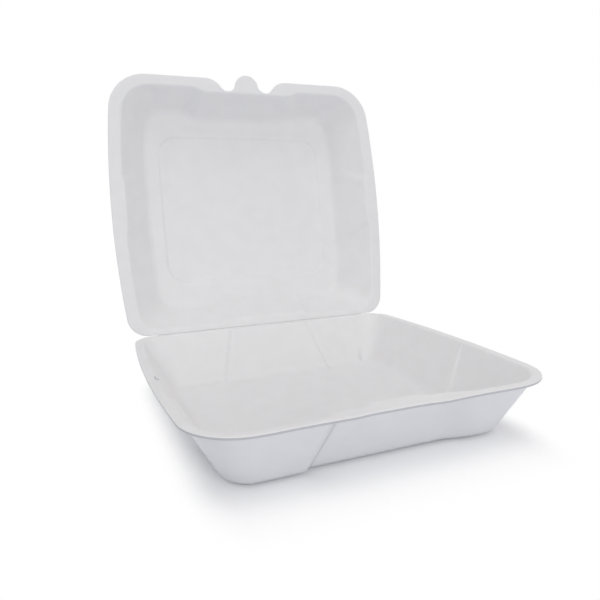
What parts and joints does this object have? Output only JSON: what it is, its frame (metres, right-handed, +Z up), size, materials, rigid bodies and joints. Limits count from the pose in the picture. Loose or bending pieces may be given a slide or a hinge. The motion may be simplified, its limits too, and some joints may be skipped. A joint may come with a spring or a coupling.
{
  "type": "foam clamshell food container",
  "caption": "Open hinged foam food container: square flared tray with a flat rim, and a shallow lid with a front tab, standing up on the pressed back fold.",
  "frame": {"origin": "middle of the tray's flat underside, on the table", "axes": "+Z up, +Y towards the fold at the back, +X to the right seen from the tray's front edge"},
  "size_m": [0.237, 0.2779, 0.2479],
  "materials": {
    "foam": "expanded foam sheet with a fine-celled satin skin",
    "pressed_foam": "foam crushed thin along the fold, slightly duller"
  },
  "bodies": {
    "tray": {"tray": "foam", "fold_hinge": "pressed_foam"},
    "lid": {"lid": "foam"}
  },
  "joints": [
    {"name": "lid_hinge", "type": "hinge", "parent": "tray", "child": "lid", "pos_m": [0, 0.1065, 0.03915], "axis": [-1, 0, 0], "range_deg": [-100, 78], "deforming": ["fold_hinge"]}
  ]
}
